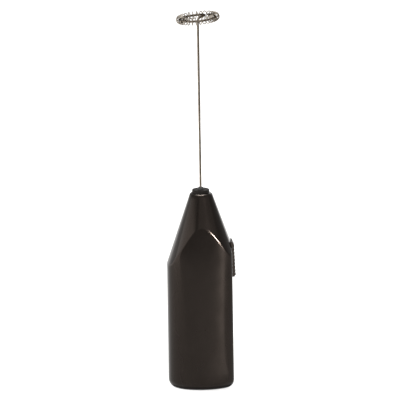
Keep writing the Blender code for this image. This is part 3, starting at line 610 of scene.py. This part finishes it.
def housing_piece(name, angles, wanted):
    """The part of the housing's grid that wanted(middle of the column, row) picks, as thick as the wall."""
    rows = Rows()
    sides = [[rows.column(angle, depth) for angle in angles] for depth in (0, WALL)]
    count, levels = len(angles), len(sides[0][0])
    points = [point for side in sides for column in side for point in column]

    def at(side, column, row):
        return (side * count + column % count) * levels + row

    middles = [(oval_point(a) + oval_point(b)) / 2 for a, b in zip(angles, angles[1:] + angles[:1])]
    chosen = {
        (column, row) for column, middle in enumerate(middles) for row in range(levels - 1)
        if wanted(middle, row)
    }
    faces = []
    for column, row in sorted(chosen):
        square = [(column, row), (column + 1, row), (column + 1, row + 1), (column, row + 1)]
        faces.append(tuple(at(0, *corner) for corner in square))
        faces.append(tuple(at(1, *corner) for corner in reversed(square)))
        neighbours = [(column, row - 1), ((column + 1) % count, row), (column, row + 1),
                      ((column - 1) % count, row)]
        for i, neighbour in enumerate(neighbours):
            if neighbour in chosen or neighbour[1] < 0:
                continue
            start, end = square[i], square[(i + 1) % 4]
            faces.append((at(0, *end), at(0, *start), at(1, *start), at(1, *end)))
    return mesh_object(name, points, faces, 30)


def in_bay(middle, half):
    """Whether a column stands on the back, within this half width of the battery bay's middle."""
    return middle.y > 0 and abs(middle.x - BAY_X) < half


def in_front(middle, row):
    return middle.y < -SEAM_HALF / 2 or row < Rows.seam_row


def in_cover(middle, row):
    return in_bay(middle, COVER_HALF_WIDTH) and Rows.seam_row < row < Rows.cover_row


def in_rear(middle, row):
    if middle.y < SEAM_HALF / 2 or row <= Rows.seam_row:
        return False
    return not in_bay(middle, COVER_HALF_WIDTH + COVER_GAP) or row > Rows.cover_row


def slot_tool():
    """The space that the switch's slot takes out of the shells."""
    low = (FLAT_X - 2 * WALL, -SLOT_HALF_WIDTH, SLOT_Z[0])
    return box_solid("slot", low, (FLAT_X + WALL, SLOT_HALF_WIDTH, SLOT_Z[1]))


def screw_well(name, x):
    """The deep round recess that a screw head sits in."""
    outer = WELL_R + WELL_WALL
    under = WELL_FLOOR_Y - WELL_WALL
    mouth = WELL_FLOOR_Y + WELL_DEPTH
    corners = [
        (WELL_R, mouth, 0), (outer, mouth, 0), (outer, under, 0),
        (WELL_R / 2, under, 0), (WELL_R / 2, WELL_FLOOR_Y, 0.1 * MM), (WELL_R, WELL_FLOOR_Y, 0.15 * MM),
    ]
    well = turned(name, rounded_profile(corners), 64, closed=True)
    dress(lay_along_y(well, x, SCREW_Z), BODY_BLACK, "housing", "body_black")


def grip_bar(name, z):
    """One raised bar of the cover's thumb grip: half round, and sinking into the cover at its ends."""
    low, high = z - GRIP_BAR_HALF_HEIGHT, z + GRIP_BAR_HALF_HEIGHT
    rings = []
    for i in range(25):
        share = 2 * i / 24 - 1
        x = BAY_X + GRIP_HALF_WIDTH * share
        end = (1 - abs(share) ** 8) ** 0.5
        ring = []
        for j in range(9):
            turn = math.pi * j / 8
            out = GRIP_HEIGHT * end * math.sin(turn) ** 0.7
            level = z - GRIP_BAR_HALF_HEIGHT * math.cos(turn)
            ring.append((x, back_y(x, level) + out, level))
        root = back_y(x, z) - GRIP_SINK
        ring += [(x, root, high), (x, root, low)]
        rings.append(ring)
    bar = through_rings(name, rings, crease_angle=50)
    dress(bar, BODY_BLACK, "cover", "body_black")


def cover_tab():
    """The tongue on top of the cover that clicks behind the rear shell."""
    back = HALF_DEPTH - WALL - TAB_GAP
    left, right = BAY_X - TAB_HALF_WIDTH, BAY_X + TAB_HALF_WIDTH
    foot = COVER_TOP_Z - TAB_ROOT
    tab = box_solid("cover_tab", (left, back - TAB_THICKNESS, foot), (right, back, COVER_TOP_Z + TAB_REACH))
    dress(bevelled(tab, 0.25 * MM, 3), BODY_BLACK, "cover", "body_black")
    root_low = (left, back - TAB_THICKNESS / 2, foot)
    root_high = (right, HALF_DEPTH - 0.8 * MM, COVER_TOP_Z - 0.4 * MM)
    root = box_solid("cover_tab_root", root_low, root_high)
    dress(bevelled(root, 0.2 * MM), BODY_BLACK, "cover", "body_black")


def build_housing():
    """The two shells and the battery cover, all cut from one grid of columns and rows."""
    angles = column_angles(COLUMN_SPACING)
    front = housing_piece("front_shell_moulding", angles, in_front)
    rear = housing_piece("rear_shell_moulding", angles, in_rear)
    cover = housing_piece("battery_cover_moulding", angles, in_cover)
    for x in SCREW_X:
        bore = turned("bore", [(WELL_R, WELL_FLOOR_Y), (WELL_R, 2 * HALF_DEPTH)], 64)
        cut_with(rear, lay_along_y(bore, x, SCREW_Z))
    cut_with(front, slot_tool())
    cut_with(rear, slot_tool())
    for piece, body, node in ((front, "housing", "front_shell"), (rear, "housing", "rear_shell"),
                              (cover, "cover", "battery_cover")):
        dress(bevelled(piece, EDGE_ROUND), BODY_BLACK, body, "body_black", node)
    for side, x in zip(("left", "right"), SCREW_X):
        screw_well("screw_well_" + side, x)
    for bar in range(GRIP_BARS):
        grip_bar(f"cover_grip_{bar + 1}", GRIP_Z + bar * GRIP_PITCH)
    cover_tab()


# ---------------------------------------------------------------- nose and whisk

def build_nose():
    """The collar, which sits in the nose's bore by its spigot, and the domed seal inside it."""
    low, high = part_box("nose_collar")
    shoulder = SHOULDER_Z + COLLAR_LIFT
    spigot = NOSE_BORE_R - SPIGOT_GAP
    corners = [
        (COLLAR_BORE_R, low.z, 0), (spigot, low.z, 0.2 * MM), (spigot, shoulder, 0),
        (high.x, shoulder, 0.12 * MM), (high.x - 0.1 * MM, high.z, 0.25 * MM),
        (COLLAR_BORE_R, high.z, 0.1 * MM),
    ]
    collar = turned("nose_collar_ring", rounded_profile(corners), closed=True)
    dress(collar, COLLAR_BLACK, "housing", "collar_black", "nose_collar")
    collar_top = high.z
    low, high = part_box("shaft_seal")
    bore = WIRE_R + SEAL_GAP
    corners = [
        (bore, low.z, 0), (high.x, low.z, 0.1 * MM), (high.x, collar_top + 0.35 * MM, 0.3 * MM),
        (high.x * 0.72, high.z - 0.15 * MM, 0.45 * MM), (bore + 0.15 * MM, high.z, 0.12 * MM),
        (bore, high.z - 0.2 * MM, 0),
    ]
    seal = turned("shaft_seal_dome", rounded_profile(corners), closed=True)
    dress(seal, SEAL_BLACK, "housing", "seal_black", "shaft_seal")


def ring_frame():
    """Takes a point of a flat ring, with its spoke along +X, to where the whisk's ring stands."""
    tilt = Matrix.Rotation(math.radians(-RING_TILT), 4, "Y")
    turn = Matrix.Rotation(math.radians(SPOKE_AZIMUTH), 4, "Z")
    return Matrix.Translation((0, 0, RING_Z)) @ tilt @ turn


def arc(centre, radius, start, end, steps):
    """Points of a flat arc, between two angles in radians."""
    angles = [start + (end - start) * i / steps for i in range(steps + 1)]
    return [
        Vector((centre[0] + radius * math.cos(a), centre[1] + radius * math.sin(a), 0)) for a in angles
    ]


def whisk_route(place):
    """The middle line of the whisk's wire: up the shaft, out along the spoke and round the ring."""
    join_angle = math.asin(RING_BEND_R / (RING_R - RING_BEND_R))
    bend_x = (RING_R - RING_BEND_R) * math.cos(join_angle)
    flat = arc((bend_x, RING_BEND_R), RING_BEND_R, -math.pi / 2, join_angle, 16)
    flat += arc((0, 0), RING_R, join_angle, 2 * math.pi - math.radians(RING_END_GAP), 120)[1:]
    up = Vector((0, 0, 1))
    out = (place.to_3x3() @ Vector((1, 0, 0))).normalized()
    angle = out.angle(up)
    side = (out - up * out.dot(up)).normalized()
    bend_centre = up * (RING_Z - SPOKE_BEND_R / math.tan(angle / 2)) + side * SPOKE_BEND_R
    bend = []
    for i in range(15):
        turn = (math.pi - angle) * i / 14
        bend.append(bend_centre + SPOKE_BEND_R * (up * math.sin(turn) - side * math.cos(turn)))
    foot = up * WHISK_FOOT_Z
    shaft = [foot.lerp(bend[0], i / 40) for i in range(40)]
    return shaft + bend + [place @ point for point in flat]


def coil_route(place):
    """The middle line of the spring that is wound round the ring."""
    start, end = math.radians(COIL_GAP), 2 * math.pi
    total = COIL_TURNS * COIL_STEPS
    points = []
    for i in range(total + 1):
        along = start + (end - start) * i / total
        turn = 2 * math.pi * i / COIL_STEPS
        reach = RING_R + COIL_R * math.cos(turn)
        flat = (reach * math.cos(along), reach * math.sin(along), COIL_R * math.sin(turn))
        points.append(place @ Vector(flat))
    return points


def build_whisk():
    """The whisk's wire and the spring round its ring."""
    place = ring_frame()
    wire = sweep("whisk_wire_drawn", whisk_route(place), WIRE_R, 20)
    dress(wire, SHAFT_STEEL, "whisk", "whisk_steel", "whisk_wire")
    coil = sweep("whisk_coil_wound", coil_route(place), COIL_WIRE_R, 8)
    dress(coil, COIL_STEEL, "whisk", "whisk_steel", "whisk_coil")


# ---------------------------------------------------------------- switch

def slider_profile(y):
    """The slider's side view at one depth: ribs on its outer face, and a back that follows the housing."""
    box_low, box_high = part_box("switch_slider")
    low, high = box_low.z, box_high.z - SLIDER_TOP_DROP
    away = SLIDER_BACK_X - FLAT_X
    taper_z = CONE_APEX_Z - math.hypot(FLAT_X / CONE_RIGHT, y) / CONE_SLOPE
    taper_x = CONE_RIGHT * math.sqrt(cone_radius(high) ** 2 - y ** 2)
    corners = [
        (taper_x + away, high, 0), (SLIDER_BACK_X, taper_z, 0), (SLIDER_BACK_X, low, 0),
        (RIB_CREST_X - RIB_DEPTH, low, RIB_SOFTNESS),
    ]
    for rib in range(RIB_COUNT):
        foot = low + RIB_START + rib * RIB_PITCH
        crest_low = foot + RIB_FLANK
        crest_high = crest_low + RIB_CREST
        crest_x = RIB_CREST_X - RIB_LEAN * (foot - low)
        outline = [(crest_x - RIB_DEPTH, foot), (crest_x, crest_low), (crest_x, crest_high),
                   (crest_x - RIB_DEPTH, crest_high + RIB_FLANK)]
        corners += [(x, z, RIB_SOFTNESS) for x, z in outline]
    corners += [(SLIDER_RAMP_X, high - SLIDER_RAMP_HEIGHT, 0.4 * MM), (SLIDER_TIP_X, high, 0.3 * MM)]
    return rounded_profile(corners, 4)


def build_slider():
    """The ribbed thumb piece, crowned from side to side, with its stem and flange behind the wall."""
    rings = []
    for i in range(33):
        share = math.sin(math.pi / 2 * (2 * i / 32 - 1))
        drop = SLIDER_CROWN * (1 - (1 - abs(share) ** 10) ** 0.5)
        y = SLIDER_HALF_WIDTH * share
        rings.append([(max(x - drop, min(x, SLIDER_BACK_X)), y, z) for x, z in slider_profile(y)])
    thumb = through_rings("switch_thumb_piece", rings, crease_angle=45)
    dress(thumb, SWITCH_BLACK, "switch", "switch_black", "switch_slider")
    wall_x = FLAT_X - WALL
    side = SLOT_HALF_WIDTH - STEM_GAP
    stem = box_solid("switch_stem", (wall_x - STEM_REACH, -side, STEM_Z[0]),
                     (SLIDER_BACK_X + 0.3 * MM, side, STEM_Z[1]))
    dress(bevelled(stem, 0.15 * MM), SWITCH_BLACK, "switch", "switch_black")
    flange_x = wall_x - FLANGE_GAP
    flange = box_solid("switch_flange",
                       (flange_x - FLANGE_THICKNESS, -FLANGE_HALF_WIDTH, STEM_Z[0] - FLANGE_OVERHANG),
                       (flange_x, FLANGE_HALF_WIDTH, STEM_Z[1] + FLANGE_OVERHANG))
    dress(bevelled(flange, 0.2 * MM), SWITCH_BLACK, "switch", "switch_black")


# ---------------------------------------------------------------- inside the housing

def cell(side, nub_up):
    """An AA cell: a steel can with its nub, and the sleeve shrunk over it."""
    low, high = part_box("aa_cell_" + side)
    centre = ((low.x + high.x) / 2, 0)
    radius = (high.x - low.x) / 2
    length = high.z - low.z
    can_top = length - CELL_NUB_HEIGHT
    groove = can_top - CELL_GROOVE
    sleeve_top = can_top + CELL_SKIN
    inner = radius - CELL_SKIN
    sleeve_low, sleeve_high = inner - 1.4 * MM, inner - 1.5 * MM
    corners = [
        (CELL_AXIS_R, 0, 0), (inner - 1.2 * MM, 0, 0.1 * MM), (inner - 1.0 * MM, 0.25 * MM, 0.1 * MM),
        (inner, 0.3 * MM, 0.4 * MM), (inner, can_top, 0.6 * MM), (inner - 1.6 * MM, can_top, 0.2 * MM),
        (inner - 2.0 * MM, groove, 0.2 * MM), (CELL_NUB_R + 0.3 * MM, groove, 0),
        (CELL_NUB_R, can_top, 0.1 * MM), (CELL_NUB_R, length, 0.35 * MM), (CELL_AXIS_R, length, 0),
    ]
    sleeve = [
        (sleeve_low, 0.02 * MM, 0), (radius, 0.02 * MM, 0.55 * MM), (radius, sleeve_top, 0.6 * MM),
        (sleeve_high, sleeve_top, 0), (sleeve_high, can_top, 0), (inner, can_top, 0.5 * MM),
        (inner, 0.14 * MM, 0.5 * MM), (sleeve_low, 0.14 * MM, 0),
    ]

    def placed(profile):
        return [(r, low.z + z if nub_up else high.z - z) for r, z in rounded_profile(profile)]

    can = turned(f"cell_can_{side}", placed(corners), 72, centre)
    dress(can, NICKEL, "housing", "contact_nickel")
    wrap = turned(f"cell_sleeve_{side}", placed(sleeve), 72, centre, closed=True)
    dress(wrap, cell_sleeve(), "housing", "cell_jacket", "aa_cell_" + side)


def spring(side, rising):
    """A cone spring, widest where it sits on its contact, which is its lower end if it is rising."""
    low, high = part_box("battery_spring_" + side)
    wide_z, narrow_z = low.z + SPRING_WIRE_R, high.z - SPRING_WIRE_R
    if not rising:
        wide_z, narrow_z = narrow_z, wide_z
    cell_low, cell_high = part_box("aa_cell_" + side)
    x = (cell_low.x + cell_high.x) / 2
    total = SPRING_TURNS * SPRING_STEPS
    points = []
    for i in range(total + 1):
        share = i / total
        radius = SPRING_WIDE_R + (SPRING_NARROW_R - SPRING_WIDE_R) * share
        turn = 2 * math.pi * i / SPRING_STEPS
        z = wide_z + (narrow_z - wide_z) * share
        points.append((x + radius * math.cos(turn), radius * math.sin(turn), z))
    coil = sweep(f"battery_spring_{side}_wound", points, SPRING_WIRE_R, 10)
    dress(coil, NICKEL, "housing", "contact_nickel", "battery_spring_" + side)


def build_inside():
    """The cells and their springs, and a finish for every CAD node that is kept as it is."""
    for side, nub_up in CELLS:
        cell(side, nub_up)
    for side, nub_up in CELLS:
        spring(side, nub_up)
    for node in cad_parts.values():
        for place in node.material_slots:
            surface = INNER_SURFACES.get(place.material.name)
            if surface:
                place.material = surface


# ---------------------------------------------------------------- studio

def build_stage():
    """The pale floor that the object stands on."""
    floor = box_solid("floor", (-6, FLOOR_FRONT_Y, -0.02), (6, 6, -0.0002))
    pale = Finish("floor_pale", 0.9, ior=1.1)
    pale.colours(pale.noise(0.3, 2), (0.90, 0.90, 0.90), (0.915, 0.915, 0.915))
    floor.data.materials.append(pale.material)


def rectangle_light(name, width, height, radiance):
    """A light of this size and radiance, which the camera doesn't see."""
    data = bpy.data.lights.new(name, "AREA")
    data.shape = "RECTANGLE"
    data.size, data.size_y = width, height
    data.energy = radiance * math.pi * width * height
    lamp = linked(name, data)
    lamp.visible_camera = False
    return lamp


def upright_light(name, corner_a, corner_b, height, radiance):
    """An upright light panel between two points of its lower edge, facing the object."""
    a, b = Vector(corner_a), Vector(corner_b)
    middle = (a + b) / 2 + Vector((0, 0, height / 2))
    lamp = rectangle_light(name, (b - a).length, height, radiance)
    across = (b - a).normalized()
    facing = across.cross(Vector((0, 0, 1)))
    if facing.dot(-middle) < 0:
        facing, across = -facing, -across
    turn = Matrix((-across, Vector((0, 0, 1)), -facing)).transposed()
    lamp.matrix_world = Matrix.Translation(middle) @ turn.to_4x4()
    return lamp


def top_light(name, middle, size, radiance):
    """A light panel that looks from its middle at the foot of the object."""
    lamp = rectangle_light(name, *size, radiance)
    lamp.location = middle
    lamp.rotation_euler = (-Vector(middle)).to_track_quat("-Z", "Y").to_euler()
    return lamp


def reflected_card(name, points, faces, surface, shadows=True):
    """A flat card near the floor, which only shows in reflections."""
    mesh = bpy.data.meshes.new(name)
    mesh.from_pydata(points, [], faces)
    mesh.materials.append(surface)
    card = linked(name, mesh)
    card.visible_camera = False
    card.visible_diffuse = False
    card.visible_shadow = shadows
    return card


def glow_card():
    """A card on the floor in front, which glows more towards its right edge.

    Its reflection is the soft upright glint on the right of the front wall.
    """
    points, levels = [], []
    for distance, spread in GLOW_EDGES:
        for azimuth, level in GLOW_STOPS:
            turn = math.radians(azimuth * spread)
            points.append((distance * math.sin(turn), -distance * math.cos(turn), GLOW_HEIGHT))
            levels.append(level)
    count = len(GLOW_STOPS)
    faces = [(i, i + 1, count + i + 1, count + i) for i in range(count - 1)]
    finish = bpy.data.materials.new("glow_card")
    finish.use_nodes = True
    shader = finish.node_tree.nodes["Principled BSDF"]
    shader.inputs["Base Color"].default_value = (0, 0, 0, 1)
    shader.inputs["Emission Color"].default_value = (1, 1, 1, 1)
    level = finish.node_tree.nodes.new("ShaderNodeAttribute")
    level.attribute_name = "glow"
    finish.node_tree.links.new(level.outputs["Fac"], shader.inputs["Emission Strength"])
    card = reflected_card("glow_card", points, faces, finish)
    card.data.attributes.new("glow", "FLOAT", "POINT").data.foreach_set("value", levels)


def shade_card():
    """A grey card on the floor under the base: its reflection keeps the foot of the body dark."""
    points = []
    for i in range(SHADE_SIDES):
        turn = math.tau * i / SHADE_SIDES
        x = (HALF_WIDTH + SHADE_MARGINS[0]) * math.cos(turn)
        y = (HALF_DEPTH + SHADE_MARGINS[1]) * math.sin(turn)
        points.append((x, y, SHADE_HEIGHT))
    grey = Finish("shade_card", 1.0, ior=1.0)
    grey.colours(grey.noise(1.0, 2), (0.20, 0.20, 0.20), (0.22, 0.22, 0.22))
    reflected_card("shade_card", points, [tuple(range(SHADE_SIDES))], grey.material, shadows=False)


def show_only_in(name, pieces, lamp):
    """Lets a lamp show in the reflections of these pieces, and nowhere else."""
    lamp.visible_diffuse = False
    receivers = bpy.data.collections.new(name)
    for piece in pieces:
        receivers.objects.link(bpy.data.objects[piece])
    lamp.light_linking.receiver_collection = receivers


def build_room():
    """A soft even room, which is plain white behind the object."""
    world = bpy.data.worlds.new("studio")
    world.use_nodes = True
    tree = world.node_tree
    room = tree.nodes["Background"]
    room.inputs["Color"].default_value = (1.0, 0.98, 0.96, 1)
    room.inputs["Strength"].default_value = 0.58
    backdrop = tree.nodes.new("ShaderNodeBackground")
    backdrop.inputs["Color"].default_value = (1, 1, 1, 1)
    rays = tree.nodes.new("ShaderNodeLightPath")
    mix = tree.nodes.new("ShaderNodeMixShader")
    tree.links.new(rays.outputs["Is Camera Ray"], mix.inputs["Fac"])
    tree.links.new(room.outputs["Background"], mix.inputs[1])
    tree.links.new(backdrop.outputs["Background"], mix.inputs[2])
    tree.links.new(mix.outputs["Shader"], tree.nodes["World Output"].inputs["Surface"])
    bpy.context.scene.world = world


def build_lights():
    """The panels round the object, the strips that make its glints, and a soft light from above."""
    upright_light("left_panel", (-0.163, -0.236, 0), (-0.56, 0.20, 0), 0.205, 2.6)
    upright_light("left_back_panel", (-0.56, 0.20, 0), (-0.35, 0.80, 0), 0.205, 0.6)
    upright_light("back_panel", (0.35, 0.35, 0), (0.05, 0.75, 0), 0.5, 1.6)
    upright_light("front_panel", (-0.7, -2.1, 0.5), (1.3, -1.8, 0.5), 0.8, 0.8)
    upright_light("front_right_panel", (1.3, -1.8, 0.5), (2.1, -0.6, 0.5), 0.8, 0.55)
    shells = ("front_shell_moulding", "rear_shell_moulding")
    arch_strip = upright_light("edge_panel", (0.62, -1.36, -0.07), (0.90, -1.18, -0.07), 0.32, 380)
    show_only_in("edge_lit", shells[:1], arch_strip)
    slider_panel = upright_light("switch_panel", (-0.3, -1.3, -0.2), (0.3, -1.3, -0.2), 0.5, 22)
    show_only_in("switch_lit", ["switch_thumb_piece"], slider_panel)
    shoulder_box = top_light("top_box", (0, 0.06, 0.75), (0.34, 0.60), 26)
    show_only_in("top_lit", shells, shoulder_box)
    sun = bpy.data.lights.new("overhead", "SUN")
    sun.energy = 2.8
    sun.angle = math.radians(70)
    sun.use_shadow = False
    linked("overhead", sun)


def build_camera():
    """The camera, a little above the object and to its left, rolled so that the object leans left."""
    azimuth, elevation, roll = (math.radians(angle) for angle in CAMERA_ANGLES)
    data = bpy.data.cameras.new("camera")
    data.sensor_width = 36.0
    data.lens = data.sensor_width * CAMERA_DISTANCE / VIEW_WIDTH
    data.clip_end = 20
    camera = linked("camera", data)
    level = math.cos(elevation)
    back = Vector((math.sin(azimuth) * level, -math.cos(azimuth) * level, math.sin(elevation)))
    camera.location = Vector(CAMERA_TARGET) + back * CAMERA_DISTANCE
    facing = (-back).to_track_quat("-Z", "Y")
    camera.rotation_euler = (facing @ Matrix.Rotation(-roll, 3, "Z").to_quaternion()).to_euler()
    bpy.context.scene.camera = camera


build_housing()
build_nose()
build_whisk()
build_slider()
build_inside()
build_stage()
glow_card()
shade_card()
build_room()
build_lights()
build_camera()
bpy.context.scene.view_settings.view_transform = "Standard"
